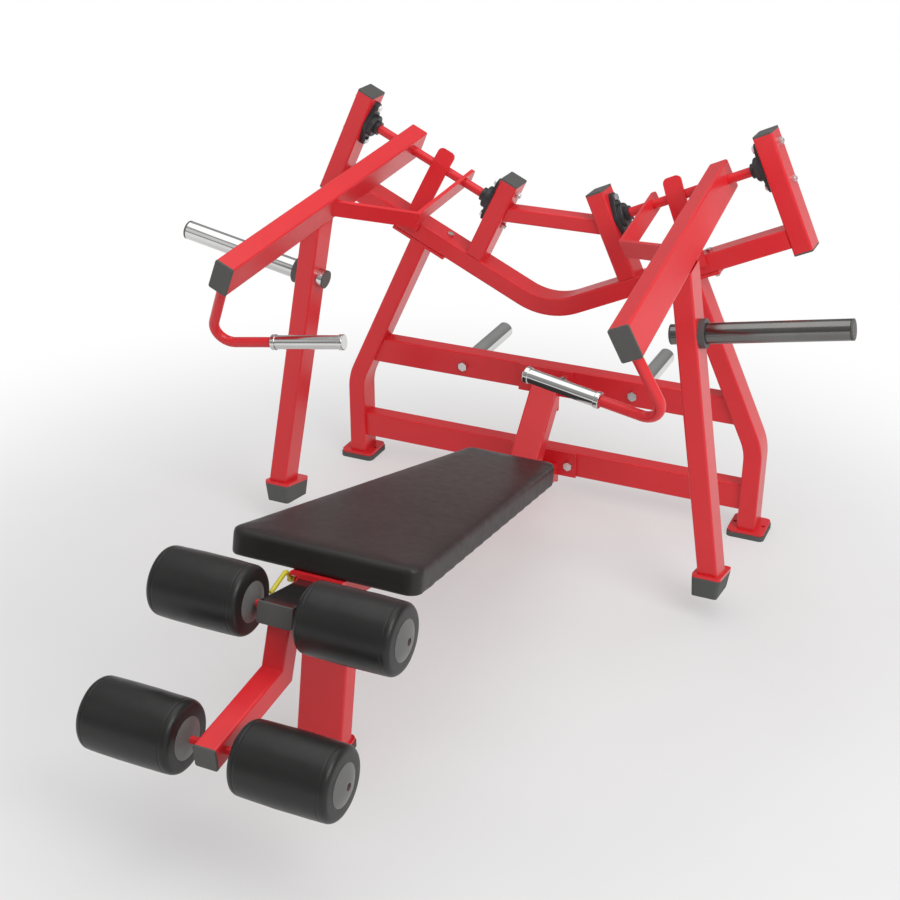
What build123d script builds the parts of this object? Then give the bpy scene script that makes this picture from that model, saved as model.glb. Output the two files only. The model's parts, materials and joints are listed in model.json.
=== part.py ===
from build123d import *
import math
import os

os.makedirs("parts", exist_ok=True)

# Plate-loaded decline press bench with two independent press arms.
# All sizes are in millimetres and degrees.
#
# Working frame used while modelling:
#   x = 0  mirror plane of the machine, +x towards its right arm
#   y = 0  front faces of the rear frame's tubes, +y towards the rear
#   z = 0  the floor, +z up
# Every solid is moved by ORIGIN_SHIFT along y when it is written, so that the
# origin of the finished part is on the floor under the middle of its envelope.

# ---- driving dimensions ----------------------------------------------------
ORIGIN_SHIFT = 725.0

TUBE_NARROW = 50.0
TUBE_WIDE = 75.0
WALL = 3.0
CORNER = 5.0
CAP_T = 5.0

# Rear frame
SPLAY = 25.0                # rise of the V beam's wings, and lean of its posts
BEAM_V0 = 481.0             # underside of a wing, measured square to the wing
BEAM_V1 = 531.0
BEAM_BEND_R = 183.0
BEAM_END_U = 932.0
POST_TOP_V = 774.0
OUTER_POST_V0 = 459.0
INNER_POST_U = 465.5
OUTER_POST_U = 932.0
LEG_X = 597.0
LEG_U = 651.0
LEG_BEND_R = 150.0
PAD_T = 14.0                # rubber foot
FOOT_T = 8.0                # steel foot plate
FLANGE_T = 8.0
FLANGE_HALF = 85.0
FOOT = 100.0
FOOT_CORNER_R = 14.0
ANCHOR_PITCH = 78.0
ANCHOR_R = 5.0

# Pivot line of the arms, in the tilted (u, y, v) frame of one wing
PIVOT_Y = 37.5
PIVOT_V = 690.0
SHAFT_R = 12.5
RUNNING_GAP = 0.05
BEARING_BOLT = 49.5
BEARING_T = 38.0
BEARING_FLANGE_T = 13.0
BEARING_FLANGE_R = 33.0
BEARING_EAR_R = 15.0
BEARING_BOSS_R = 31.0
BEARING_BOSS_T = 27.0
BEARING_INSERT_R = 19.0

# Arm
ARM_SLOPE = 7.55
ARM_U0 = 778.5
ARM_P0 = -886.0             # front end, measured along the arm from the pivot
ARM_P1 = 51.0
ARM_Q0 = -42.0
ARM_Q1 = 38.0
HORN_R = 25.0
HORN_ROOT_R = 24.0          # through the lever post and the collar
HANDLE_R = 12.5
GRIP_R = 16.8
GRIP_RING_R = 19.0

# Bench
BENCH_SLOPE = 13.65
BENCH_Y = -1276.0           # front end of the cushion's top surface
BENCH_Z = 491.0
BENCH_L = 1080.5
BENCH_HALF_FRONT = 222.0
BENCH_HALF_REAR = 130.0
CUSHION_T = 50.0
BOARD_T = 12.0
WRAP_T = 4.0                # cover and foam that wrap round the board's edge
PAD_CORNER_R = 30.0
PAD_EDGE_R = 12.0
MOUNT_T = 8.0
SPINE_W = 90.0
SPINE_H = 55.0
SPINE_WALL = 4.0
SLIDE_GAP = 0.4
STRUT_W = 80.0
FRONT_POST_W = 110.0

# Leg rollers
ROLLER_R = 75.0
ROLLER_X0 = 63.0
ROLLER_X1 = 272.0
AXLE_R = 8.0
HUB_R = 43.0
HUB_DOME = 10.0
HUB_PLUG_R = 26.0
HUB_PLUG_L = 30.0
ROLLER_RIM_R = 14.0
UPPER_AXLE = (-1441.0, 438.0)
LOWER_AXLE = (-1695.0, 280.0)

# Fasteners
BOLT_R = 5.0
BOLT_HOLE_R = 5.4
HEX = 8.5                   # half the width across flats
BIG_BOLT_R = 8.0
BIG_HOLE_R = 8.5
BIG_HEX = 12.0


# ---- helpers ---------------------------------------------------------------
def block(x0, x1, y0, y1, z0, z1):
    box = Box(x1 - x0, y1 - y0, z1 - z0)
    return Pos((x0 + x1) / 2, (y0 + y1) / 2, (z0 + z1) / 2) * box


def rod(start, end, radius):
    a = Vector(*start)
    b = Vector(*end)
    plane = Plane(origin=a, z_dir=b - a)
    return extrude(plane * Circle(radius), (b - a).length)


def pipe(start, end, radius, bore):
    return rod(start, end, radius) - rod(start, end, bore)


def section(width, depth, corner):
    if corner > 0:
        return RectangleRounded(width, depth, corner)
    return Rectangle(width, depth)


def bar(start, end, width, depth, side=(1, 0, 0), corner=CORNER):
    a = Vector(*start)
    b = Vector(*end)
    plane = Plane(origin=a, x_dir=side, z_dir=b - a)
    return extrude(plane * section(width, depth, corner), (b - a).length)


def box_tube(start, end, width, depth, side=(1, 0, 0), wall=WALL):
    outer = bar(start, end, width, depth, side)
    inner_corner = CORNER - wall
    inner = bar(start, end, width - 2 * wall, depth - 2 * wall, side, inner_corner)
    return outer - inner


def bent_tube(points, radius, width, depth, side, wall=WALL):
    path = FilletPolyline(*points, radius=radius)
    plane = Plane(origin=path @ 0, x_dir=side, z_dir=path % 0)
    outer = sweep(plane * section(width, depth, CORNER), path=path)
    inner_face = section(width - 2 * wall, depth - 2 * wall, CORNER - wall)
    inner = sweep(plane * inner_face, path=path)
    return outer - inner


def hexagon(start, end, half_flats=HEX):
    a = Vector(*start)
    b = Vector(*end)
    plane = Plane(origin=a, z_dir=b - a)
    radius = half_flats / math.cos(math.radians(30))
    return extrude(plane * RegularPolygon(radius, 6), (b - a).length)


def along(start, direction, distance):
    point = Vector(start) + Vector(direction).normalized() * distance
    return (point.X, point.Y, point.Z)


def bolt(head_face, direction, grip, spare=12.0, radius=BOLT_R, half_flats=HEX):
    """Hex bolt: its head sits on head_face, its shank runs along direction."""
    crown = along(head_face, direction, -1.3 * radius)
    head = hexagon(crown, head_face, half_flats)
    cone = Cone(half_flats * 1.25, half_flats * 0.75, 3, align=(Align.CENTER, Align.CENTER, Align.MIN))
    top = Plane(origin=crown, z_dir=Vector(*direction) * -1)
    lip = top.location * Pos(0, 0, -1.5) * cone
    body = top.location * Pos(0, 0, -20 - 1.5) * Cylinder(
        half_flats * 1.25, 20, align=(Align.CENTER, Align.CENTER, Align.MIN)
    )
    head = head & (lip + body)
    shank = rod(head_face, along(head_face, direction, grip + spare), radius)
    return head + shank


def nut(face, direction, radius=BOLT_R, half_flats=HEX):
    """Hex nut with its flat side on face, running along direction."""
    end = along(face, direction, 1.6 * radius)
    return hexagon(face, end, half_flats) - rod(face, end, radius + 0.02)


def tube_plug(outer_w, outer_d, wall, depth=12.0):
    """Flat end cap with a plug; its rim is at z 0 to CAP_T, plug below."""
    rim = extrude(RectangleRounded(outer_w, outer_d, CORNER), CAP_T)
    rim = fillet(rim.faces().sort_by(Axis.Z)[-1].edges(), 1.5)
    room = 2 * wall + 1.0
    plug = extrude(Rectangle(outer_w - room - 4, outer_d - room - 4), -depth)
    return rim + plug


def mirrored(shape):
    return mirror(shape, about=Plane.YZ)


def both(shape):
    return [shape, mirrored(shape)]


TILT = Rot(0, -SPLAY, 0)
ARM = TILT * Pos(0, PIVOT_Y, PIVOT_V) * Rot(ARM_SLOPE, 0, 0)
BENCH = Pos(0, BENCH_Y, BENCH_Z) * Rot(-BENCH_SLOPE, 0, 0)
COS = math.cos(math.radians(SPLAY))
SIN = math.sin(math.radians(SPLAY))


def wing(u, y, v):
    """Point of the right wing's tilted frame, in the working frame."""
    return (u * COS - v * SIN, y, u * SIN + v * COS)


def write(name, shapes):
    solids = []
    for shape in shapes:
        solids.extend(shape.solids())
    moved = [Pos(0, ORIGIN_SHIFT, 0) * solid for solid in solids]
    node = moved[0] if len(moved) == 1 else Compound(children=moved)
    node.label = name
    export_step(node, "parts/" + name + ".step")


def write_pair(name, shapes):
    """A part of the right side, and its mirror image on the left side."""
    write("right_" + name, shapes)
    write("left_" + name, [mirrored(shape) for shape in shapes])


# ---- places shared by several parts ----------------------------------------
FOOT_TOP = PAD_T + FOOT_T
MID_Y = TUBE_WIDE / 2
MID_V = (BEAM_V0 + BEAM_V1) / 2
SHAFT_A = wing(INNER_POST_U + TUBE_NARROW + 3, PIVOT_Y, PIVOT_V)
SHAFT_B = wing(OUTER_POST_U - 3, PIVOT_Y, PIVOT_V)
BEARING_VS = (PIVOT_V - BEARING_BOLT, PIVOT_V + BEARING_BOLT)
LEG_BOLT_US = (585.0, 717.0)

# ---- rear frame: V beam, legs, posts ---------------------------------------
beam_low = MID_V / COS
beam_tip = wing(BEAM_END_U, MID_Y, MID_V)
beam_path = [(-beam_tip[0], MID_Y, beam_tip[2]), (0, MID_Y, beam_low), beam_tip]
v_beam = bent_tube(beam_path, BEAM_BEND_R, TUBE_WIDE, TUBE_NARROW, (0, 1, 0))
for u in LEG_BOLT_US:
    hole = rod(wing(u, MID_Y, BEAM_V0 - 5), wing(u, MID_Y, BEAM_V1 + 5), BOLT_HOLE_R)
    v_beam -= hole
    v_beam -= mirrored(hole)
write("v_beam", [v_beam])

leg_top_v = BEAM_V0 - FLANGE_T
leg_path = [
    (LEG_X, MID_Y, FOOT_TOP),
    (LEG_X, MID_Y, (LEG_U - LEG_X * COS) / SIN),
    wing(LEG_U, MID_Y, leg_top_v),
]
right_leg = bent_tube(leg_path, LEG_BEND_R, TUBE_NARROW, TUBE_WIDE, (1, 0, 0))
write_pair("leg", [right_leg])

leg_flange = TILT * block(LEG_U - FLANGE_HALF, LEG_U + FLANGE_HALF, 0, TUBE_WIDE, leg_top_v, BEAM_V0)
for u in LEG_BOLT_US:
    low = wing(u, MID_Y, leg_top_v - 5)
    leg_flange -= rod(low, wing(u, MID_Y, BEAM_V0 + 5), BOLT_HOLE_R)

foot_x = LEG_X + 1
foot_y = MID_Y + 2


def foot_slab(x, y, width, depth, z0, z1, holes):
    slab = extrude(Pos(x, y, z0) * RectangleRounded(width, depth, FOOT_CORNER_R), z1 - z0)
    for hx, hy in holes:
        slab -= rod((hx, hy, z0 - 1), (hx, hy, z1 + 1), ANCHOR_R)
    return slab


FRONT_FOOT_Y = -1302.0
FRONT_FOOT_W = 118.0
FRONT_FOOT_D = 96.0
FRONT_PITCH = 60.0
rear_holes = [(foot_x + k * ANCHOR_PITCH / 2, foot_y) for k in (-1, 1)]
front_holes = [(k * FRONT_PITCH / 2, FRONT_FOOT_Y - 35) for k in (-1, 1)]
rear_plate = foot_slab(foot_x, foot_y, FOOT, FOOT, PAD_T, FOOT_TOP, rear_holes)
rear_pad = foot_slab(foot_x, foot_y, FOOT + 4, FOOT + 4, 0, PAD_T, rear_holes)
front_plate = foot_slab(
    0, FRONT_FOOT_Y, FRONT_FOOT_W, FRONT_FOOT_D, PAD_T, FOOT_TOP, front_holes
)
front_pad = foot_slab(
    0, FRONT_FOOT_Y, FRONT_FOOT_W + 4, FRONT_FOOT_D + 4, 0, PAD_T, front_holes
)
write("foot_plates", both(rear_plate) + [front_plate])
write("foot_pads", both(rear_pad) + [front_pad])


def bearing_holes(shape, u0, u1):
    for v in BEARING_VS:
        a = wing(u0, PIVOT_Y, v)
        b = wing(u1, PIVOT_Y, v)
        shape -= rod(a, b, BOLT_HOLE_R)
    return shape


inner_u = INNER_POST_U + TUBE_NARROW / 2
outer_u = OUTER_POST_U + TUBE_NARROW / 2
post_end_v = POST_TOP_V - CAP_T
inner_post = box_tube(
    wing(inner_u, MID_Y, BEAM_V1), wing(inner_u, MID_Y, post_end_v),
    TUBE_NARROW, TUBE_WIDE, (COS, 0, SIN),
)
outer_post = box_tube(
    wing(outer_u, MID_Y, OUTER_POST_V0 + CAP_T), wing(outer_u, MID_Y, post_end_v),
    TUBE_NARROW, TUBE_WIDE, (COS, 0, SIN),
)
inner_post = bearing_holes(inner_post, inner_u - 60, inner_u + 60)
outer_post = bearing_holes(outer_post, outer_u - 60, outer_u + 60)
write_pair("inner_post", [inner_post])
write_pair("outer_post", [outer_post])

plug = tube_plug(TUBE_NARROW, TUBE_WIDE, WALL)
post_caps = [
    TILT * Pos(inner_u, MID_Y, post_end_v) * plug,
    TILT * Pos(outer_u, MID_Y, post_end_v) * plug,
    TILT * Pos(outer_u, MID_Y, OUTER_POST_V0 + CAP_T) * Rot(180, 0, 0) * plug,
]
write("post_caps", post_caps + [mirrored(cap) for cap in post_caps])

# ---- rear frame: crossbars and tie bar -------------------------------------
CROSS_Y0 = 12.5
CROSS_Y1 = 62.5
UPPER_Z = 358.0
LOWER_Z = 110.5
TIE_Z = 815.0
TIE_H = 40.0
UPPER_PLATE_HALF = 80.0
UPPER_PLATE_Z = (317.0, 395.0)
UPPER_TONGUE_Z = 272.0
LOWER_PLATE_HALF = 100.0
LOWER_PLATE_Z = (73.0, 148.0)
LOWER_TONGUE_Z = 50.0
STORAGE_X = 253.0
STORAGE_Z = 355.0
HORN_ROOT_T = 14.0
STORAGE_END = 320.0


def crossbar(z, half_length, height):
    y = (CROSS_Y0 + CROSS_Y1) / 2
    return box_tube(
        (-half_length, y, z), (half_length, y, z),
        CROSS_Y1 - CROSS_Y0, height, (0, 1, 0),
    )


leg_inside = TILT * block(LEG_U - 25, LEG_U + 300, -100, 200, -400, 900)
post_inside = TILT * block(INNER_POST_U, INNER_POST_U + 300, -100, 200, 0, 1200)
upper_crossbar = crossbar(UPPER_Z, 600, TUBE_WIDE)
upper_crossbar -= leg_inside
upper_crossbar -= mirrored(leg_inside)
lower_crossbar = crossbar(LOWER_Z, LEG_X - TUBE_NARROW / 2, TUBE_WIDE)
tie_bar = crossbar(TIE_Z, 400, TIE_H)
tie_bar -= post_inside
tie_bar -= mirrored(post_inside)

PLATE_Y0 = CROSS_Y0 - FLANGE_T
UPPER_BOLTS = [(-54, 369), (54, 369)]
LOWER_BOLTS = [(-77, 109), (77, 109)]


# Each plate carries a tongue behind the end of the tube that is welded to it.
def end_plate(half_width, heights, tongue_half, tongue_low):
    plate = block(-half_width, half_width, PLATE_Y0, CROSS_Y0, *heights)
    return plate + block(
        -tongue_half, tongue_half, PLATE_Y0, CROSS_Y0, tongue_low, heights[0]
    )


upper_plate = end_plate(UPPER_PLATE_HALF, UPPER_PLATE_Z, STRUT_W / 2, UPPER_TONGUE_Z)
lower_plate = end_plate(LOWER_PLATE_HALF, LOWER_PLATE_Z, SPINE_W / 2, LOWER_TONGUE_Z)
for x, z in UPPER_BOLTS:
    hole = rod((x, -50, z), (x, 100, z), BIG_HOLE_R)
    upper_plate -= hole
    upper_crossbar -= hole
for x, z in LOWER_BOLTS:
    hole = rod((x, -50, z), (x, 100, z), BIG_HOLE_R)
    lower_plate -= hole
    lower_crossbar -= hole
for x in (-STORAGE_X, STORAGE_X):
    upper_crossbar -= rod((x, -50, STORAGE_Z), (x, 100, STORAGE_Z), BIG_HOLE_R)
write("upper_crossbar", [upper_crossbar])
write("lower_crossbar", [lower_crossbar])
write("tie_bar", [tie_bar])
write("flange_plates", both(leg_flange) + [upper_plate, lower_plate])

storage_horn = pipe(
    (STORAGE_X, CROSS_Y1, STORAGE_Z), (STORAGE_X, STORAGE_END - 6, STORAGE_Z),
    HORN_R, HORN_R - 4,
)
horn_end = rod(
    (STORAGE_X, STORAGE_END - 6, STORAGE_Z), (STORAGE_X, STORAGE_END, STORAGE_Z), HORN_R
)
horn_end = chamfer(horn_end.faces().sort_by(Axis.Y)[-1].edges(), 2)
# The root is a threaded plug that the bolt is screwed into.
horn_root = rod(
    (STORAGE_X, CROSS_Y1, STORAGE_Z), (STORAGE_X, CROSS_Y1 + HORN_ROOT_T, STORAGE_Z), HORN_R
)
horn_root -= rod(
    (STORAGE_X, CROSS_Y1 - 1, STORAGE_Z),
    (STORAGE_X, CROSS_Y1 + HORN_ROOT_T + 1, STORAGE_Z),
    BIG_BOLT_R + 0.02,
)
storage_horn = storage_horn + horn_end + horn_root
write_pair("storage_horn", [storage_horn])

# ---- bearings, bolts and nuts ----------------------------------------------
flange_outline = make_hull(
    Circle(BEARING_FLANGE_R).edges()
    + (Pos(0, BEARING_BOLT) * Circle(BEARING_EAR_R)).edges()
    + (Pos(0, -BEARING_BOLT) * Circle(BEARING_EAR_R)).edges()
)
housing = extrude(flange_outline, BEARING_FLANGE_T)
housing = fillet(housing.faces().sort_by(Axis.Z)[-1].edges(), 2)
UPRIGHT = (Align.CENTER, Align.CENTER, Align.MIN)
boss = Cylinder(BEARING_BOSS_R, BEARING_BOSS_T, align=UPRIGHT)
boss = fillet(boss.faces().sort_by(Axis.Z)[-1].edges(), 4)
insert = Cylinder(BEARING_INSERT_R, BEARING_T, align=UPRIGHT)
grease_nipple = Pos(0, 22, 12) * Rot(-35, 0, 0) * Cylinder(3, 24)
housing = housing + boss + insert + grease_nipple
housing -= Cylinder(SHAFT_R + RUNNING_GAP, 200)
for step in (-BEARING_BOLT, BEARING_BOLT):
    housing -= Pos(0, step, 0) * Cylinder(BOLT_HOLE_R, 60)

# The housing's axis runs along u, away from the post it is bolted to.
inner_face_u = INNER_POST_U + TUBE_NARROW


def seat(shape, u, outward):
    """Puts a part that was built along +z on the pivot line at u."""
    sign = 1 if outward else -1
    plane = Plane(
        origin=wing(u, PIVOT_Y, PIVOT_V),
        x_dir=(0, -sign, 0),
        z_dir=(sign * COS, 0, sign * SIN),
    )
    return plane.location * shape


inner_bearing = seat(housing, inner_face_u, True)
outer_bearing = seat(housing, OUTER_POST_U, False)
write_pair("bearings", [inner_bearing, outer_bearing])

u_dir = (COS, 0, SIN)
u_back = (-COS, 0, -SIN)
v_down = (SIN, 0, -COS)
y_back = (0, 1, 0)
bearing_bolts = []
nuts = []
for v in BEARING_VS:
    head = wing(inner_face_u + BEARING_FLANGE_T, PIVOT_Y, v)
    bearing_bolts.append(bolt(head, u_back, BEARING_FLANGE_T + TUBE_NARROW))
    nuts.append(nut(wing(INNER_POST_U, PIVOT_Y, v), u_back))
    head = wing(OUTER_POST_U - BEARING_FLANGE_T, PIVOT_Y, v)
    bearing_bolts.append(bolt(head, u_dir, BEARING_FLANGE_T + TUBE_NARROW))
    nuts.append(nut(wing(OUTER_POST_U + TUBE_NARROW, PIVOT_Y, v), u_dir))

frame_bolts = []
for u in LEG_BOLT_US:
    head = wing(u, MID_Y, BEAM_V1)
    grip = BEAM_V1 - BEAM_V0 + FLANGE_T
    frame_bolts += both(bolt(head, v_down, grip))
    nuts.append(nut(wing(u, MID_Y, leg_top_v), v_down))
nuts += [mirrored(item) for item in nuts]
for x, z in UPPER_BOLTS + LOWER_BOLTS:
    spare = 1.6 * BIG_BOLT_R + 4
    frame_bolts.append(
        bolt((x, PLATE_Y0, z), y_back, FLANGE_T + 50, spare, BIG_BOLT_R, BIG_HEX)
    )
    nuts.append(nut((x, CROSS_Y1, z), y_back, BIG_BOLT_R, BIG_HEX))
for x in (-STORAGE_X, STORAGE_X):
    frame_bolts.append(
        bolt((x, CROSS_Y0, STORAGE_Z), y_back, 50, HORN_ROOT_T, BIG_BOLT_R, BIG_HEX)
    )
write("bolts", bearing_bolts + [mirrored(item) for item in bearing_bolts] + frame_bolts)
write("nuts", nuts)

# ---- bench: spine, struts, board and cushion -------------------------------
spine_top = -(CUSHION_T + BOARD_T + MOUNT_T)
spine_low = spine_top - SPINE_H
spine_mid = (spine_top + spine_low) / 2
behind_plate = block(-300, 300, PLATE_Y0, 400, -200, 900)


def bench_point(x, s, w):
    """Point of the bench's frame: s runs down the cushion, w is square to it."""
    a = math.radians(BENCH_SLOPE)
    y = BENCH_Y + s * math.cos(a) + w * math.sin(a)
    z = BENCH_Z - s * math.sin(a) + w * math.cos(a)
    return (x, y, z)


spine = box_tube(
    bench_point(0, -9, spine_mid), bench_point(0, 1400, spine_mid),
    SPINE_W, SPINE_H, (1, 0, 0), SPINE_WALL,
)
spine -= behind_plate
mount_plate = BENCH * block(-61, 61, -9, 860, spine_top, -(CUSHION_T + BOARD_T))


def bench_outline(inset):
    front = BENCH_HALF_FRONT - inset
    rear = BENCH_HALF_REAR - inset
    s0 = inset
    s1 = BENCH_L - inset
    return make_face(Polyline((-front, s0), (front, s0), (rear, s1), (-rear, s1), close=True))


board = Pos(0, 0, -CUSHION_T) * extrude(bench_outline(WRAP_T), -BOARD_T)
board = fillet(board.edges().filter_by(lambda e: abs((e % 0.5).Z) > 0.9), PAD_CORNER_R - WRAP_T)
cushion = extrude(bench_outline(0), -(CUSHION_T + BOARD_T))
cushion = fillet(cushion.edges().filter_by(lambda e: abs((e % 0.5).Z) > 0.9), PAD_CORNER_R)
cushion = fillet(cushion.faces().sort_by(Axis.Z)[-1].edges(), PAD_EDGE_R)
cushion -= board
write("bench_pad", [BENCH * cushion])
write("pad_board", [BENCH * board])
write("pad_mount_plate", [mount_plate])

over_spine = BENCH * block(-300, 300, -400, 1700, spine_top - 400, spine_top)
strut_head = (0, 1.6, 312.9)
strut_run = (0, -122.3, -130.0)
rear_strut = box_tube(
    along(strut_head, strut_run, -90), along(strut_head, strut_run, 420),
    STRUT_W, TUBE_NARROW, (1, 0, 0),
)
rear_strut -= behind_plate
rear_strut -= over_spine
write("rear_strut", [rear_strut.solids().sort_by(Axis.Z)[-1]])

under_spine = BENCH * block(-300, 300, -400, 1700, spine_low, spine_low + 700)
front_post = box_tube(
    (0, -1309.4, -38.0), (0, -1221.4, 402.0), FRONT_POST_W, TUBE_NARROW, (1, 0, 0)
)
front_post -= under_spine
front_post -= block(-300, 300, -1700, -900, -300, FOOT_TOP)
write("front_post", [front_post.solids().sort_by(Axis.Z)[-1]])

# ---- leg holder: sliding stub, stem, axles, rollers ------------------------
stub_w = SPINE_W - 2 * SPINE_WALL - 2 * SLIDE_GAP
stub_h = SPINE_H - 2 * SPINE_WALL - 2 * SLIDE_GAP
holder_tube = box_tube(
    bench_point(0, -172 + CAP_T, spine_mid), bench_point(0, 230, spine_mid),
    stub_w, stub_h, (1, 0, 0),
)


def axle_point(x, axle):
    return (x, axle[0], axle[1])


axle_half = ROLLER_X1 + 3
upper_axle = rod(axle_point(-axle_half, UPPER_AXLE), axle_point(axle_half, UPPER_AXLE), AXLE_R)
lower_axle = rod(axle_point(-axle_half, LOWER_AXLE), axle_point(axle_half, LOWER_AXLE), AXLE_R)
holder_tube -= upper_axle

# Stem: falls away from the stub, then turns forward at a mitred corner. It is
# set out from the inner edge of that corner and the directions of its two runs.
inside_corner = (-1486.0, 327.0)
drop = (-0.3757, -0.9267)
reach = (-0.9957, -0.0927)
half = TUBE_NARROW / 2
a_y = inside_corner[0] - 0.9267 * -half
a_z = inside_corner[1] - 0.3757 * half
b_y = inside_corner[0] + 0.0927 * half
b_z = inside_corner[1] - 0.9957 * half
det = drop[0] * -reach[1] + reach[0] * drop[1]
t = ((b_y - a_y) * -reach[1] + reach[0] * (b_z - a_z)) / det
corner = (0, a_y + drop[0] * t, a_z + drop[1] * t)
stem_start = (0, corner[1] - drop[0] * 190, corner[2] - drop[1] * 190)
stem_length = (-1733.0 + CAP_T - corner[1]) / reach[0]
stem_end = (0, corner[1] + reach[0] * stem_length, corner[2] + reach[1] * stem_length)


def mitred_tube(a, b, c, size, wall):
    """Square tube from a to c, cut and welded at b on the angle's halving plane."""
    way_in = (Vector(*b) - Vector(*a)).normalized()
    way_out = (Vector(*c) - Vector(*b)).normalized()
    halving = Plane(origin=b, z_dir=way_in + way_out)
    ahead = halving.location * Box(400, 400, 400, align=(Align.CENTER, Align.CENTER, Align.MIN))
    behind = halving.location * Box(400, 400, 400, align=(Align.CENTER, Align.CENTER, Align.MAX))
    solids = []
    for width, corner_r in ((size, CORNER), (size - 2 * wall, CORNER - wall)):
        into = bar(a, along(b, way_in, size), width, width, (1, 0, 0), corner_r)
        out_of = bar(along(b, way_out, -size), c, width, width, (1, 0, 0), corner_r)
        solids.append((into - ahead) + (out_of - behind))
    return solids[0] - solids[1]


roller_stem = mitred_tube(stem_start, corner, stem_end, TUBE_NARROW, WALL)
stub_low = spine_top - SPINE_WALL - SLIDE_GAP - stub_h
roller_stem -= BENCH * block(-300, 300, -600, 1700, stub_low, stub_low + 700)
roller_stem = roller_stem.solids().sort_by(Axis.Y)[0]
roller_stem -= lower_axle
write("holder_tube", [holder_tube])
write("roller_stem", [roller_stem])
write("upper_axle", [upper_axle])
write("lower_axle", [lower_axle])

stub_cap = BENCH * Pos(0, -172 + CAP_T, spine_mid) * Rot(90, 0, 0) * tube_plug(
    stub_w, stub_h, WALL
)
stub_cap -= upper_axle
stem_plane = Plane(origin=stem_end, x_dir=(1, 0, 0), z_dir=(0, reach[0], reach[1]))
stem_cap = stem_plane.location * tube_plug(TUBE_NARROW, TUBE_NARROW, WALL)
write("holder_caps", [stub_cap, stem_cap])


def roller(side, axle):
    """Foam sleeve; the hubs are pushed into its bore from both ends."""
    length = ROLLER_X1 - ROLLER_X0
    foam = Cylinder(ROLLER_R, length)
    foam = fillet(foam.edges().filter_by(GeomType.CIRCLE), ROLLER_RIM_R)
    foam -= Cylinder(HUB_PLUG_R, length + 20)
    middle = side * (ROLLER_X0 + ROLLER_X1) / 2
    return Pos(middle, axle[0], axle[1]) * Rot(0, 90, 0) * foam


def hub():
    """Shallow domed cap on z = 0 with a plug below and a bore for the axle."""
    ball_r = (HUB_R**2 + HUB_DOME**2) / (2 * HUB_DOME)
    keep = Cylinder(HUB_R, 2 * HUB_DOME, align=(Align.CENTER, Align.CENTER, Align.MIN))
    dome = (Pos(0, 0, HUB_DOME - ball_r) * Sphere(ball_r)) & keep
    plug = Cylinder(HUB_PLUG_R, HUB_PLUG_L, align=(Align.CENTER, Align.CENTER, Align.MAX))
    shape = dome + plug
    return shape - Cylinder(AXLE_R + RUNNING_GAP, 120)


def hubs(side, axle):
    pair = []
    for x, out in ((ROLLER_X1, 1), (ROLLER_X0, -1)):
        spot = Plane(origin=axle_point(side * x, axle), z_dir=(side * out, 0, 0))
        pair.append(spot.location * hub())
    return pair


for name, axle in (("upper", UPPER_AXLE), ("lower", LOWER_AXLE)):
    for side_name, side in (("right", 1), ("left", -1)):
        label = name + "_" + side_name
        write(label + "_roller", [roller(side, axle)])
        write(label + "_hubs", hubs(side, axle))

# Clamp lever on the left side of the receiver: a screw, and a cranked handle.
LEVER_X = -70.0
LEVER_R = 5.0
SCREW_R = 7.0
SCREW_AT = (-1281.0, 402.0)
LEVER_CRANK = (-1300.0, 431.0)
LEVER_END = (-1360.5, 414.3)
spine_side = -SPINE_W / 2
screw = rod((LEVER_X - 6, *SCREW_AT), (spine_side + SPINE_WALL, *SCREW_AT), SCREW_R)
lever_path = FilletPolyline(
    (LEVER_X, *SCREW_AT), (LEVER_X, *LEVER_CRANK), (LEVER_X, *LEVER_END), radius=12
)
lever_plane = Plane(origin=lever_path @ 0, z_dir=lever_path % 0)
lever_rod = sweep(lever_plane * Circle(LEVER_R), path=lever_path)
lever_tip = Pos(*(lever_path @ 1)) * Sphere(LEVER_R)
boss_ring = pipe(
    (spine_side - 12, *SCREW_AT), (spine_side, *SCREW_AT), 13, SCREW_R + RUNNING_GAP
)
spine -= rod((-90, *SCREW_AT), (-20, *SCREW_AT), SCREW_R + RUNNING_GAP)
write("clamp_lever", [screw + lever_rod + lever_tip])
write("spine_tube", [spine + boss_ring])

# ---- arm: shaft, tube, stop plate, bracket ---------------------------------
shaft = rod(SHAFT_A, SHAFT_B, SHAFT_R)
write_pair("pivot_shaft", [shaft])

ARM_W = TUBE_NARROW
arm_mid_u = ARM_U0 + ARM_W / 2
arm_mid_q = (ARM_Q0 + ARM_Q1) / 2
ARM_H = ARM_Q1 - ARM_Q0


def arm_point(u, p, q):
    """Point of the arm's frame: p runs along the arm, q is square to it."""
    a = math.radians(ARM_SLOPE)
    y = PIVOT_Y + p * math.cos(a) - q * math.sin(a)
    v = PIVOT_V + p * math.sin(a) + q * math.cos(a)
    return wing(u, y, v)


def arm_box(p0, p1, grow=0.0):
    return bar(
        arm_point(arm_mid_u, p0, arm_mid_q), arm_point(arm_mid_u, p1, arm_mid_q),
        ARM_W + grow, ARM_H + grow, u_dir,
    )


HANDLE_TOP = wing(arm_mid_u, -826, 613)
HANDLE_CORNER = (579.0, -770.0, 660.0)
HANDLE_END = (228.0, -732.0, 704.0)
HANDLE_BEND_R = 42.0
GRIP_END_T = 4.0
end_dir = (
    HANDLE_END[0] - HANDLE_CORNER[0],
    HANDLE_END[1] - HANDLE_CORNER[1],
    HANDLE_END[2] - HANDLE_CORNER[2],
)
end_back = (-end_dir[0], -end_dir[1], -end_dir[2])
handle_stop = along(HANDLE_END, end_back, GRIP_END_T)


def handle_solid(radius, start, end):
    path = FilletPolyline(start, HANDLE_CORNER, end, radius=HANDLE_BEND_R)
    plane = Plane(origin=path @ 0, z_dir=path % 0)
    return sweep(plane * Circle(radius), path=path)


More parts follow.
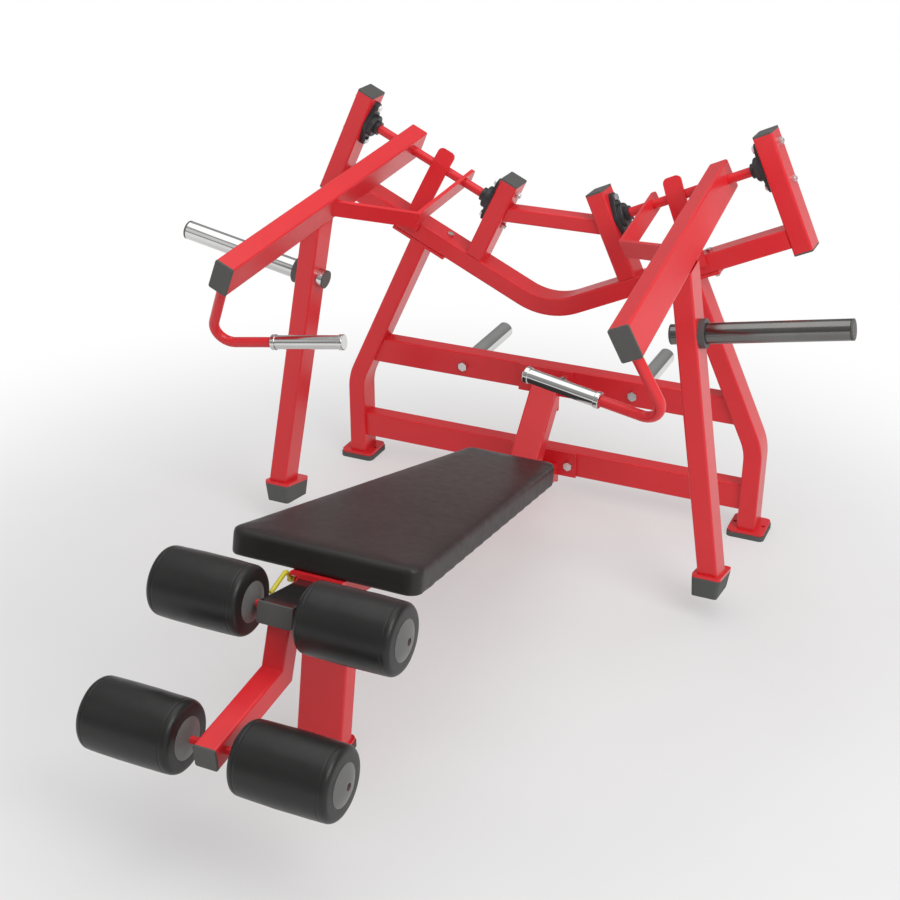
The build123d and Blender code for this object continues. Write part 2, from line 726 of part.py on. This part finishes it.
handle = handle_solid(HANDLE_R, HANDLE_TOP, handle_stop)
handle -= handle_solid(HANDLE_R - 2.5, HANDLE_TOP, handle_stop)
handle_body = handle_solid(HANDLE_R, HANDLE_TOP, handle_stop)

arm_tube = arm_box(ARM_P0 + CAP_T, ARM_P1)
arm_inner = bar(
    arm_point(arm_mid_u, ARM_P0 - 5, arm_mid_q), arm_point(arm_mid_u, ARM_P1 - 3, arm_mid_q),
    ARM_W - 2 * WALL, ARM_H - 2 * WALL, u_dir, CORNER - WALL,
)
arm_tube -= arm_inner
arm_tube -= shaft
arm_tube -= handle_body
write_pair("arm_tube", [arm_tube])
write_pair("handle", [handle])

BRACKET_U = 610.5
BRACKET_T = 10.0
bracket_outline = make_face(
    Polyline(
        (BRACKET_U, 50),
        (BRACKET_U, -273),
        (ARM_U0, -424),
        (ARM_U0, -410.5),
        (BRACKET_U + BRACKET_T, -269),
        (BRACKET_U + BRACKET_T, 50),
        close=True,
    )
)
bracket = extrude(Pos(0, 0, -24) * bracket_outline, 45)
tip = bracket.faces().sort_by(Axis.Y)[-1]
bracket = fillet(tip.edges().filter_by(Axis.X), 12)
bracket = ARM * bracket
bracket -= shaft
write_pair("bracket", [bracket])

# Stop plate: welded to the shaft's front, its foot rests on the V beam.
STOP_U0 = 665.0
STOP_U1 = 715.0
STOP_T = 6.0
STOP_LEAN = 9.05
STOP_GROOVE = 11.5
lean = math.radians(STOP_LEAN)


def stop_back(v):
    return PIVOT_Y - STOP_GROOVE / math.cos(lean) - (PIVOT_V - v) * math.tan(lean)


crease_v = 702.0
back_lean = math.radians(19.0)
top_v = 742.0
low_v = 505.0
step_t = STOP_T / math.cos(lean)
crease_y = stop_back(crease_v)
top_y = crease_y + (top_v - crease_v) * math.tan(back_lean)
stop_outline = make_face(
    Polyline(
        (stop_back(low_v), low_v),
        (crease_y, crease_v),
        (top_y, top_v),
        (top_y - step_t, top_v + 2),
        (crease_y - step_t, crease_v + 1),
        (stop_back(low_v) - step_t, low_v),
        close=True,
    )
)
stop_plane = Plane(origin=(STOP_U0, 0, 0), x_dir=(0, 1, 0), z_dir=(1, 0, 0))
stop_tab = extrude(stop_plane * stop_outline, STOP_U1 - STOP_U0)
top_edges = stop_tab.faces().sort_by(Axis.Z)[-1].edges()
short_edges = top_edges.filter_by(lambda e: abs((e % 0.5).X) < 0.5)
stop_tab = fillet(short_edges, 14)
stop_tab = TILT * stop_tab
stop_tab -= shaft
write_pair("stop_tab", [stop_tab])

# ---- arm: lever post, foot plate, rubber boot, weight horn -----------------
LEVER_TOP = (476.0, -389.0, 900.0)
LEVER_LOW = (609.0, -415.0, 120.0)
SOLE_TILT = 9.0
SOLE = (605.5, -406.5, 58.0)
boot_low = Pos(*SOLE) * Rot(-SOLE_TILT, 0, 0) * RectangleRounded(64, 108, 8)
boot_frame = Pos(607.0, -403.0, 106.0) * Rot(-13.0, 0, 0)
lever_foot = RectangleRounded(73, 122, 10)
boot_top = boot_frame * lever_foot
boot = loft([boot_low.face(), boot_top.face()])
lever_plate = boot_frame * extrude(lever_foot, 8)
lever_post = box_tube(
    along(LEVER_TOP, (-133, 26, 780), 60), along(LEVER_LOW, (133, -26, -780), 60),
    TUBE_NARROW, TUBE_WIDE, (1, 0, 0),
)
lever_post -= boot_frame * block(-200, 200, -300, 300, -300, 8)
above_arm = ARM * block(ARM_U0 - 300, ARM_U0 + 300, -900, 60, ARM_Q0, ARM_Q0 + 400)
lever_post -= above_arm
lever_post = lever_post.solids().sort_by(SortBy.VOLUME)[-1]

HORN_AT = (503.3, -395.0, 723.5)
HORN_TIP = (876.0, -392.0, 794.0)
horn_dir = (HORN_TIP[0] - HORN_AT[0], HORN_TIP[1] - HORN_AT[1], HORN_TIP[2] - HORN_AT[2])
horn_back = (-horn_dir[0], -horn_dir[1], -horn_dir[2])
HORN_INNER = 40.0
horn_start = along(HORN_AT, horn_back, HORN_INNER)
horn_stop = along(HORN_TIP, horn_back, 6)
horn_step = along(HORN_AT, horn_dir, 42.5)
weight_horn = pipe(horn_step, horn_stop, HORN_R, HORN_R - 4)
weight_horn += pipe(horn_start, horn_step, HORN_ROOT_R, HORN_R - 4)
lever_post -= rod(horn_start, horn_step, HORN_ROOT_R)
lever_post = lever_post.solids().sort_by(SortBy.VOLUME)[-1]
write_pair("lever_post", [lever_post, lever_plate])
write_pair("boot", [boot])
write_pair("weight_horn", [weight_horn])

collar_a = along(HORN_AT, horn_dir, 26.2)
collar = pipe(collar_a, horn_step, 35, HORN_ROOT_R)
collar -= bar(LEVER_TOP, LEVER_LOW, TUBE_NARROW, TUBE_WIDE, (1, 0, 0))
collar = collar.solids().sort_by(SortBy.VOLUME)[-1]
horn_tip = rod(horn_stop, HORN_TIP, HORN_R)
horn_tip = fillet(horn_tip.faces().sort_by(Axis.X)[-1].edges(), 2)
horn_tip += rod(along(horn_stop, horn_back, 14), horn_stop, HORN_R - 4.5)
inner_cap = rod(along(horn_start, horn_back, 4), horn_start, HORN_ROOT_R)
inner_cap += rod(horn_start, along(horn_start, horn_dir, 12), HORN_R - 4.5)
arm_front = arm_point(arm_mid_u, ARM_P0 + CAP_T, arm_mid_q)
arm_dir = Vector(*arm_point(0, -1, 0)) - Vector(*arm_point(0, 0, 0))
arm_cap_plane = Plane(origin=arm_front, x_dir=u_dir, z_dir=arm_dir)
arm_cap = arm_cap_plane.location * tube_plug(ARM_W, ARM_H, WALL)
arm_cap -= handle_body
write_pair("arm_caps", [arm_cap, collar, horn_tip, inner_cap])

# ---- arm: hand grip --------------------------------------------------------
GRIP_L = 186.0
GRIP_RING_L = 12.0
grip_start = along(HANDLE_END, end_back, GRIP_L)
grip = rod(grip_start, HANDLE_END, GRIP_R)
for at in (0.0, GRIP_L - GRIP_RING_L):
    ring_a = along(HANDLE_END, end_back, at)
    ring_b = along(HANDLE_END, end_back, at + GRIP_RING_L)
    ring = rod(ring_a, ring_b, GRIP_RING_R)
    grip += fillet(ring.edges().filter_by(GeomType.CIRCLE), 2)
grip -= rod(grip_start, handle_stop, HANDLE_R)
write_pair("grip", [grip])
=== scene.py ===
import bpy, bmesh, json, math
from mathutils import Matrix, Vector, noise


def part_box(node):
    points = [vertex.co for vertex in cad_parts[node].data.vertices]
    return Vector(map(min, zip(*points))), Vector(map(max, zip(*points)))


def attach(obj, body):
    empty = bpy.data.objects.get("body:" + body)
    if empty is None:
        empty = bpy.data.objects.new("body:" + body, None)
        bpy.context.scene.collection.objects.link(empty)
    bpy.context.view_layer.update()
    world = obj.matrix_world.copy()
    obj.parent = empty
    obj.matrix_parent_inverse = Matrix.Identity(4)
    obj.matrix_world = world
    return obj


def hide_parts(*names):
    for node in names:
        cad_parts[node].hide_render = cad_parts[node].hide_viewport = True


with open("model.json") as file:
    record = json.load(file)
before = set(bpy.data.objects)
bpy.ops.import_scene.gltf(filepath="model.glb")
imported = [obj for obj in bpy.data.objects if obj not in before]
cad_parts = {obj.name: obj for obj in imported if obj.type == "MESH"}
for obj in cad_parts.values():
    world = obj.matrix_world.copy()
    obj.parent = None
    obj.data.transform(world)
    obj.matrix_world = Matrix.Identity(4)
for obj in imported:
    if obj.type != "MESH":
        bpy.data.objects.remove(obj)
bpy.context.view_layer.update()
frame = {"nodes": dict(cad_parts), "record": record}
nodes = frame["nodes"]

# Plate-loaded decline press bench. Metres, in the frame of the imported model:
# x = 0 is the mirror plane, +y is the rear, z = 0 is the floor.

# bench pad, in its own frame: front edge at y = 0, top face at z = 0
BENCH_SLOPE = math.radians(13.65)
PAD_AT = Vector((0.0, -0.551, 0.491))   # middle of the front top edge
PAD_FRONT = 0.226                       # half widths at the two ends
PAD_REAR = 0.130
PAD_LENGTH = 1.0805
PAD_THICK = 0.062
PAD_CORNER = 0.032                      # radius of the outline's corners
PAD_EDGE = 0.010                        # round of the top edge; half of it below
PAD_SWELL = 0.002                       # how far the air pressure lifts the cover
PAD_CROWN = 0.0015                      # highest point over the flat top
PAD_VOXEL = 0.006

# leg rollers
ROLLER_BORE = 0.0262                    # radius
ROLLER_RIM = 0.013                      # radius of the rounded rims
ROLLER_CROWN = 0.0012                   # rise from the ends to the middle
ROLLER_WAVE = 0.0005                    # unevenness of the foam
ROLLER_AROUND = 128                     # points round a sleeve
ROLLER_SPARE = Vector((0.0006, 0.0, 0.0016))   # taken off the CAD half sizes

# edge wear
WEAR_RADIUS = 0.0016
WEAR_WIDTH = 0.25                       # turn of the normal at full wear
WEAR_PATCHES = 38.0                     # patches to a metre

CAMERA_AT = (1.3290, -2.8312, 1.9976)
CAMERA_TILT = math.radians(63.923)
CAMERA_TURN = math.radians(24.478)
CAMERA_LENS = 59.2
SENSOR = 36.0


# ---- materials -------------------------------------------------------------
def add(tree, kind, **values):
    """A node with some of its sockets set."""
    node = tree.nodes.new("ShaderNode" + kind)
    for name, value in values.items():
        node.inputs[name.replace("_", " ")].default_value = value
    return node


def fine_noise(tree, place, scale, detail=2.0, rough=0.5):
    """Fractal noise with scale cells to a metre."""
    node = add(tree, "TexNoise", Scale=scale, Detail=detail, Roughness=rough)
    tree.links.new(place, node.inputs["Vector"])
    return node.outputs["Fac"]


def pebbles(tree, place, scale):
    """Rounded cells, as on embossed vinyl."""
    node = add(tree, "TexVoronoi", Scale=scale)
    node.feature = "SMOOTH_F1"
    tree.links.new(place, node.inputs["Vector"])
    return node.outputs["Distance"]


def ramp(tree, factor, low, high, start=0.3, end=0.7):
    """Colour that goes from low to high as the factor goes from start to end."""
    node = tree.nodes.new("ShaderNodeValToRGB")
    first, last = node.color_ramp.elements
    first.position = start
    last.position = end
    first.color = (*low, 1.0)
    last.color = (*high, 1.0)
    tree.links.new(factor, node.inputs["Fac"])
    return node.outputs["Color"]


def spread(tree, factor, low, high, start=0.25, end=0.75):
    """Number that goes from low to high as the factor goes from start to end."""
    node = add(tree, "MapRange", From_Min=start, From_Max=end, To_Min=low, To_Max=high)
    tree.links.new(factor, node.inputs["Value"])
    return node.outputs["Result"]


def raise_surface(tree, height, depth, strength, below=None):
    """Bump of a real depth in metres, on top of another bump."""
    node = add(tree, "Bump", Strength=strength, Distance=depth)
    tree.links.new(height, node.inputs["Height"])
    if below is not None:
        tree.links.new(below, node.inputs["Normal"])
    return node.outputs["Normal"]


def worn_edge(tree, radius, width):
    """0 on flat faces, rising to 1 where the normal turns at an edge."""
    geometry = tree.nodes.new("ShaderNodeNewGeometry")
    rounded = add(tree, "Bevel", Radius=radius)
    rounded.samples = 4
    turn = tree.nodes.new("ShaderNodeVectorMath")
    turn.operation = "DOT_PRODUCT"
    tree.links.new(geometry.outputs["Normal"], turn.inputs[0])
    tree.links.new(rounded.outputs["Normal"], turn.inputs[1])
    return spread(tree, turn.outputs["Value"], 0.0, 1.0, 1.0, 1.0 - width)


def mixed(tree, factor, first, second):
    """Colour that goes from the first socket's to the second, a plain colour."""
    node = tree.nodes.new("ShaderNodeMix")
    node.data_type = "RGBA"
    tree.links.new(factor, node.inputs["Factor"])
    colour_a, colour_b = [socket for socket in node.inputs if socket.type == "RGBA"]
    tree.links.new(first, colour_a)
    colour_b.default_value = (*second, 1.0)
    return next(socket for socket in node.outputs if socket.type == "RGBA")


def product(tree, first, second):
    """Two numbers multiplied."""
    node = tree.nodes.new("ShaderNodeMath")
    node.operation = "MULTIPLY"
    tree.links.new(first, node.inputs[0])
    tree.links.new(second, node.inputs[1])
    return node.outputs["Value"]


def material(name, dark, light, rough, grains, blotch=5.0, wear=None, **settings):
    """Finish with drifting colour and roughness, fine relief, and worn edges.

    dark and light are the colours it drifts between; rough is the lowest and
    highest roughness; grains lists (texture, scale, depth, strength) from coarse
    to fine; wear is the colour of worn edges; settings go on the shader's sockets.
    """
    made = bpy.data.materials.new(name)
    made.use_nodes = True
    tree = made.node_tree
    shader = tree.nodes["Principled BSDF"]
    place = tree.nodes.new("ShaderNodeTexCoord").outputs["Object"]
    broad = fine_noise(tree, place, blotch, detail=4.0, rough=0.6)
    colour = ramp(tree, broad, dark, light)
    smears = fine_noise(tree, place, blotch * 9, detail=5.0, rough=0.65)
    gloss = spread(tree, smears, *rough)
    if wear is not None:
        dots = fine_noise(tree, place, WEAR_PATCHES, detail=4.0, rough=0.7)
        patches = ramp(tree, dots, (0, 0, 0), (1, 1, 1), 0.45, 0.65)
        factor = product(tree, worn_edge(tree, WEAR_RADIUS, WEAR_WIDTH), patches)
        colour = mixed(tree, factor, colour, wear)
    tree.links.new(colour, shader.inputs["Base Color"])
    tree.links.new(gloss, shader.inputs["Roughness"])
    normal = None
    for texture, scale, depth, strength in grains:
        normal = raise_surface(tree, texture(tree, place, scale), depth, strength, normal)
    if normal is not None:
        tree.links.new(normal, shader.inputs["Normal"])
    for socket, value in settings.items():
        shader.inputs[socket.replace("_", " ")].default_value = value
    return made


RED = material(
    "red_powder_coat", (0.69, 0.021, 0.028), (0.74, 0.024, 0.032), (0.28, 0.34),
    [(fine_noise, 30.0, 0.0006, 0.05)],
    Coat_Weight=0.10, Coat_Roughness=0.22, Specular_IOR_Level=0.40,
)
# The slight red tint in the vinyl's colours is a painted reflection of the red frame.
VINYL = material(
    "bench_vinyl", (0.024, 0.0205, 0.0205), (0.033, 0.0285, 0.0285), (0.36, 0.46),
    [
        (fine_noise, 22.0, 0.002, 0.04),
        (pebbles, 900.0, 0.0003, 0.25),
        (fine_noise, 2400.0, 0.0002, 0.2),
    ],
    Specular_IOR_Level=0.25,
)
SLEEVE = material(
    "roller_vinyl", (0.0110, 0.0108, 0.0104), (0.0165, 0.0160, 0.0155), (0.33, 0.43),
    [
        (fine_noise, 30.0, 0.003, 0.08),
        (pebbles, 1000.0, 0.0004, 0.30),
        (fine_noise, 2600.0, 0.0002, 0.2),
    ],
    Specular_IOR_Level=0.35, Coat_Weight=0.06, Coat_Roughness=0.28,
)
CAP = material(
    "cap_plastic", (0.079, 0.078, 0.075), (0.097, 0.096, 0.092), (0.46, 0.58),
    [(fine_noise, 900.0, 0.0003, 0.25), (fine_noise, 3200.0, 0.0001, 0.3)],
    wear=(0.12, 0.12, 0.12), Specular_IOR_Level=0.4,
)
HUB = material(
    "hub_plastic", (0.105, 0.104, 0.102), (0.135, 0.133, 0.130), (0.34, 0.44),
    [(fine_noise, 700.0, 0.0003, 0.18)],
    Specular_IOR_Level=0.5, Coat_Weight=0.1, Coat_Roughness=0.25,
)
RUBBER = material(
    "moulded_rubber", (0.080, 0.086, 0.081), (0.104, 0.111, 0.105), (0.60, 0.78),
    [(fine_noise, 400.0, 0.0005, 0.3), (fine_noise, 2200.0, 0.0002, 0.3)],
    wear=(0.12, 0.125, 0.12), Specular_IOR_Level=0.35,
)
CHROME = material(
    "chrome_plate", (0.60, 0.60, 0.59), (0.68, 0.68, 0.67), (0.05, 0.13),
    [(fine_noise, 60.0, 0.0002, 0.05)],
    Metallic=1.0,
)
# Chrome with darker grey painted into its colour: a painted dark reflection for the right weight
# horn, standing in for the dark surroundings it mirrors.
CHROME_DARK_REFLECTION = material(
    "chrome_dark_reflection", (0.15, 0.148, 0.142), (0.20, 0.197, 0.190), (0.13, 0.24),
    [(fine_noise, 300.0, 0.0001, 0.10)],
    Metallic=1.0,
)
ZINC = material(
    "zinc_plate", (0.62, 0.63, 0.64), (0.78, 0.78, 0.77), (0.22, 0.38),
    [(fine_noise, 800.0, 0.0002, 0.2)], blotch=60.0, Metallic=1.0,
)
CAST = material(
    "painted_casting", (0.016, 0.017, 0.019), (0.030, 0.031, 0.034), (0.34, 0.55),
    [(fine_noise, 260.0, 0.0008, 0.35), (fine_noise, 1500.0, 0.0003, 0.3)],
    wear=(0.10, 0.10, 0.11), blotch=30.0, Specular_IOR_Level=0.5,
)
BLACK = material(
    "black_enamel", (0.010, 0.011, 0.011), (0.018, 0.019, 0.019), (0.14, 0.24),
    [(fine_noise, 50.0, 0.0005, 0.08), (fine_noise, 600.0, 0.0002, 0.08)],
    wear=(0.09, 0.09, 0.09), Coat_Weight=0.5, Coat_Roughness=0.08,
)
YELLOW = material(
    "yellow_paint", (0.52, 0.46, 0.012), (0.66, 0.58, 0.02), (0.28, 0.40),
    [(fine_noise, 400.0, 0.0003, 0.15)],
    wear=(0.70, 0.66, 0.30), blotch=30.0, Coat_Weight=0.25, Coat_Roughness=0.15,
)
PLY = material(
    "birch_plywood", (0.36, 0.24, 0.13), (0.52, 0.37, 0.21), (0.55, 0.75),
    [(fine_noise, 300.0, 0.0004, 0.3)], blotch=25.0, Specular_IOR_Level=0.3,
)


FINISH_OF_SLOT = {
    "red_paint": RED, "vinyl": VINYL, "foam_black": SLEEVE, "grey_plastic": CAP,
    "chrome": CHROME, "zinc": ZINC, "rubber": RUBBER, "black_cast": CAST,
    "black_steel": BLACK, "yellow": YELLOW, "wood": PLY,
}


def set_material(thing, finish):
    thing.data.materials.clear()
    thing.data.materials.append(finish)


def finish_of(name, slot):
    """The hubs are shinier than the caps, and the right weight horn gets chrome
    with a darker colour painted in: a painted dark reflection."""
    if name.endswith("_hubs"):
        return HUB
    if name == "right_weight_horn":
        return CHROME_DARK_REFLECTION
    return FINISH_OF_SLOT[slot]


for part in frame["record"]["subparts"]:
    node = part["node"]
    set_material(nodes[node], finish_of(node, part["material_slot"]))


# ---- soft parts ------------------------------------------------------------
def into_scene(thing):
    bpy.context.scene.collection.objects.link(thing)


def finish_smooth(piece, finish):
    set_material(piece, finish)
    for face in piece.data.polygons:
        face.use_smooth = True


def soft_piece(name, mesh, finish, body, replaced):
    """A soft piece that rides on a body and replaces the CAD nodes named."""
    piece = bpy.data.objects.new(name, mesh)
    into_scene(piece)
    finish_smooth(piece, finish)
    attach(piece, body)
    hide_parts(*replaced)
    return piece


def bake_modifiers(piece):
    """Gives a piece the mesh that its modifiers make, and drops them."""
    depsgraph = bpy.context.evaluated_depsgraph_get()
    depsgraph.update()
    mesh = bpy.data.meshes.new_from_object(piece.evaluated_get(depsgraph))
    piece.modifiers.clear()
    piece.data = mesh


def subdivide(piece):
    finer = piece.modifiers.new("finer", "SUBSURF")
    finer.levels = 1
    finer.render_levels = 1
    bake_modifiers(piece)


def inflate(piece, cap, held, frames=20):
    """Cloth under pressure, for some frames. No point moves further than cap,
    and the points for which held(point) is true stay where they are."""
    start = [vertex.co.copy() for vertex in piece.data.vertices]
    group = piece.vertex_groups.new(name="held")
    group.add([i for i, point in enumerate(start) if held(point)], 1.0, "REPLACE")
    cloth = piece.modifiers.new("cloth", "CLOTH")
    vinyl = cloth.settings
    vinyl.quality = 5
    vinyl.mass = 0.3
    vinyl.use_pressure = True
    vinyl.uniform_pressure_force = 4.0
    vinyl.tension_stiffness = 15.0
    vinyl.compression_stiffness = 15.0
    vinyl.bending_stiffness = 2.0
    vinyl.vertex_group_mass = "held"
    vinyl.effector_weights.gravity = 0.0
    cloth.collision_settings.use_collision = False
    cloth.point_cache.frame_start = 1
    cloth.point_cache.frame_end = frames
    for step in range(1, frames + 1):
        bpy.context.scene.frame_set(step)
    bake_modifiers(piece)
    bpy.context.scene.frame_set(1)
    for vertex, origin in zip(piece.data.vertices, start):
        move = vertex.co - origin
        if move.length > cap:
            vertex.co = origin + move * (cap / move.length)


def rounded_outline(corners, radius, steps=8):
    """Closed outline with an arc at each corner, given in order round it."""
    outline = []
    for i, corner in enumerate(corners):
        before = (corners[i - 1] - corner).normalized()
        after = (corners[(i + 1) % len(corners)] - corner).normalized()
        half = before.angle(after) / 2
        centre = corner + (before + after).normalized() * (radius / math.sin(half))
        start = (corner + before * (radius / math.tan(half)) - centre).normalized()
        end = (corner + after * (radius / math.tan(half)) - centre).normalized()
        for step in range(steps + 1):
            outline.append(centre + start.slerp(end, step / steps) * radius)
    return outline


def pad_block(thick):
    """Solid wedge-shaped pad with rounded corners and edges, top face at z = 0."""
    corners = [
        Vector((-PAD_FRONT, 0.0, 0.0)), Vector((PAD_FRONT, 0.0, 0.0)),
        Vector((PAD_REAR, PAD_LENGTH, 0.0)), Vector((-PAD_REAR, PAD_LENGTH, 0.0)),
    ]
    work = bmesh.new()
    top = [work.verts.new(point) for point in rounded_outline(corners, PAD_CORNER)]
    face = work.faces.new(top)
    grown = bmesh.ops.extrude_face_region(work, geom=[face])
    base = [item for item in grown["geom"] if isinstance(item, bmesh.types.BMVert)]
    bmesh.ops.translate(work, verts=base, vec=(0.0, 0.0, -thick))
    bmesh.ops.recalc_face_normals(work, faces=work.faces)
    for height, width in ((0.0, PAD_EDGE), (-thick, PAD_EDGE / 2)):
        rim = [
            edge for edge in work.edges
            if all(abs(vertex.co.z - height) < 1e-5 for vertex in edge.verts)
        ]
        bmesh.ops.bevel(work, geom=rim, offset=width, segments=5, profile=0.5, affect="EDGES")
    mesh = bpy.data.meshes.new("bench_upholstery")
    work.to_mesh(mesh)
    work.free()
    return mesh


def bench_cushion():
    """Tight vinyl over foam, wrapped round the board: a flat base, walls that
    belly out a little, and a slightly crowned top."""
    mesh = pad_block(PAD_THICK - PAD_SWELL)
    mesh.transform(Matrix.Translation((0.0, 0.0, -PAD_SWELL)))
    base = -PAD_THICK
    piece = soft_piece(
        "bench_upholstery", mesh, VINYL, "frame", ["bench_pad", "pad_board"]
    )
    remesh = piece.modifiers.new("remesh", "REMESH")
    remesh.mode = "VOXEL"
    remesh.voxel_size = PAD_VOXEL
    bake_modifiers(piece)
    inflate(piece, PAD_SWELL, lambda point: point.z < base + PAD_VOXEL / 2)
    smooth = piece.modifiers.new("smooth", "SMOOTH")
    smooth.factor = 0.5
    smooth.iterations = 4
    bake_modifiers(piece)
    for vertex in piece.data.vertices:
        vertex.co.z = min(max(vertex.co.z, base), PAD_CROWN)
    subdivide(piece)
    slope = Matrix.Rotation(-BENCH_SLOPE, 4, "X")
    piece.data.transform(Matrix.Translation(PAD_AT) @ slope)
    finish_smooth(piece, VINYL)


def sleeve_outline(half, radius):
    """(along, out) points of a foam sleeve: its bore, and from the right end
    face over the rounded rim and the seam to the crown and the left end."""
    bore = [(-half + 0.004, ROLLER_BORE), (half - 0.004, ROLLER_BORE)]
    end = [
        (half - 0.0005, ROLLER_BORE + 0.003),
        (half, ROLLER_BORE + 0.010),
        (half + 0.0006, ROLLER_BORE + 0.022),
    ]
    rim_steps = 9
    for i in range(rim_steps + 1):
        turn = math.radians(90 * i / rim_steps)
        along = half - ROLLER_RIM * (1 - math.cos(turn))
        out = radius - ROLLER_RIM * (1 - math.sin(turn))
        end.append((along, out))
    seam = half - ROLLER_RIM - 0.0035
    end += [
        (seam + 0.0012, radius + 0.0002),
        (seam, radius - 0.0011),
        (seam - 0.0014, radius + 0.0004),
    ]
    crown = []
    crown_steps = 22
    for i in range(crown_steps + 1):
        share = i / crown_steps
        along = (seam - 0.004) * (1 - 2 * share)
        crown.append((along, radius + 0.0004 + ROLLER_CROWN * math.sin(math.pi * share)))
    far_end = [(-along, out) for along, out in reversed(end)]
    return bore + end + crown + far_end


def lathed(outline, centre):
    """Closed outline turned round the x axis, with a faint wave in the foam."""
    widest = max(out for along, out in outline)
    seed = Vector((centre.x * 7.0, centre.y * 5.0, centre.z * 3.0))
    work = bmesh.new()
    rings = []
    for along, out in outline:
        ring = []
        for step in range(ROLLER_AROUND):
            turn = 2 * math.pi * step / ROLLER_AROUND
            ray = Vector((0.0, math.cos(turn), math.sin(turn)))
            spot = ray * out
            spot.x = along
            if out > widest - 0.02:
                spot += ray * ROLLER_WAVE * noise.noise(spot * 28.0 + seed)
            ring.append(work.verts.new(spot + centre))
        rings.append(ring)
    for i, ring in enumerate(rings):
        after = rings[(i + 1) % len(rings)]
        for step in range(ROLLER_AROUND):
            nxt = (step + 1) % ROLLER_AROUND
            work.faces.new((ring[step], ring[nxt], after[nxt], after[step]))
    bmesh.ops.recalc_face_normals(work, faces=work.faces)
    mesh = bpy.data.meshes.new("sleeve")
    work.to_mesh(mesh)
    work.free()
    return mesh


def roller_sleeve(name):
    """Foam sleeve in the place and size of a CAD roller."""
    low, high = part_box(name)
    half, _, radius = (high - low) / 2 - ROLLER_SPARE
    mesh = lathed(sleeve_outline(half, radius), (low + high) / 2)
    piece = soft_piece(name + "_sleeve", mesh, SLEEVE, name, [name])
    subdivide(piece)


bench_cushion()
for name in sorted(nodes):
    if name.endswith("_roller"):
        roller_sleeve(name)


# ---- stage, light and camera -----------------------------------------------
def studio_floor():
    """Pale floor that fades to plain white round the machine."""
    work = bmesh.new()
    bmesh.ops.create_grid(work, x_segments=4, y_segments=4, size=40.0)
    mesh = bpy.data.meshes.new("studio_floor")
    work.to_mesh(mesh)
    work.free()
    floor = bpy.data.objects.new("studio_floor", mesh)
    into_scene(floor)
    finish = bpy.data.materials.new("studio_floor")
    finish.use_nodes = True
    tree = finish.node_tree
    shader = tree.nodes["Principled BSDF"]
    shader.inputs["Roughness"].default_value = 0.55
    shader.inputs["Specular IOR Level"].default_value = 0.25
    place = tree.nodes.new("ShaderNodeTexCoord").outputs["Object"]
    away = tree.nodes.new("ShaderNodeVectorMath")
    away.operation = "LENGTH"
    tree.links.new(place, away.inputs[0])
    fade = add(tree, "MapRange", From_Min=0.8, From_Max=2.3, To_Min=0.42)
    fade.interpolation_type = "SMOOTHSTEP"
    tree.links.new(away.outputs["Value"], fade.inputs["Value"])
    shade = ramp(tree, fine_noise(tree, place, 1.3, 3.0), (0.60, 0.60, 0.60), (0.66, 0.66, 0.66))
    tree.links.new(shade, shader.inputs["Base Color"])
    glow = tree.nodes.new("ShaderNodeEmission")
    mix = tree.nodes.new("ShaderNodeMixShader")
    tree.links.new(fade.outputs["Result"], mix.inputs["Fac"])
    tree.links.new(shader.outputs["BSDF"], mix.inputs[1])
    tree.links.new(glow.outputs["Emission"], mix.inputs[2])
    tree.links.new(mix.outputs["Shader"], tree.nodes["Material Output"].inputs["Surface"])
    set_material(floor, finish)


def softbox(name, at, aim, size, power):
    """Square area light of a size in metres and a power in watts."""
    light = bpy.data.lights.new(name, "AREA")
    light.shape = "SQUARE"
    light.size = size
    light.energy = power
    lamp = bpy.data.objects.new(name, light)
    lamp.location = at
    direction = Vector(aim) - Vector(at)
    lamp.rotation_euler = direction.to_track_quat("-Z", "Y").to_euler()
    into_scene(lamp)


def studio_world():
    """Soft sky, darker at the horizon and below."""
    world = bpy.data.worlds.new("studio")
    bpy.context.scene.world = world
    world.use_nodes = True
    tree = world.node_tree
    background = tree.nodes["Background"]
    place = tree.nodes.new("ShaderNodeTexCoord").outputs["Generated"]
    split = tree.nodes.new("ShaderNodeSeparateXYZ")
    tree.links.new(place, split.inputs["Vector"])
    sky = ramp(tree, split.outputs["Z"], (0.55, 0.55, 0.56), (1.0, 1.0, 1.0), 0.0, 0.8)
    tree.links.new(sky, background.inputs["Color"])
    background.inputs["Strength"].default_value = 0.45


def camera():
    data = bpy.data.cameras.new("camera")
    data.lens = CAMERA_LENS
    data.sensor_width = SENSOR
    eye = bpy.data.objects.new("camera", data)
    eye.location = CAMERA_AT
    eye.rotation_euler = (CAMERA_TILT, 0.0, CAMERA_TURN)
    into_scene(eye)
    bpy.context.scene.camera = eye


studio_floor()
studio_world()
camera()
bpy.context.scene.view_settings.view_transform = "Standard"
softbox("key", (3.4, -1.6, 3.6), (0.0, 0.0, 0.5), 2.6, 115.0)
softbox("overhead", (0.0, 0.2, 4.2), (0.0, 0.0, 0.0), 4.5, 75.0)
softbox("fill", (-3.2, -3.0, 2.6), (0.0, -0.2, 0.5), 2.4, 8.0)
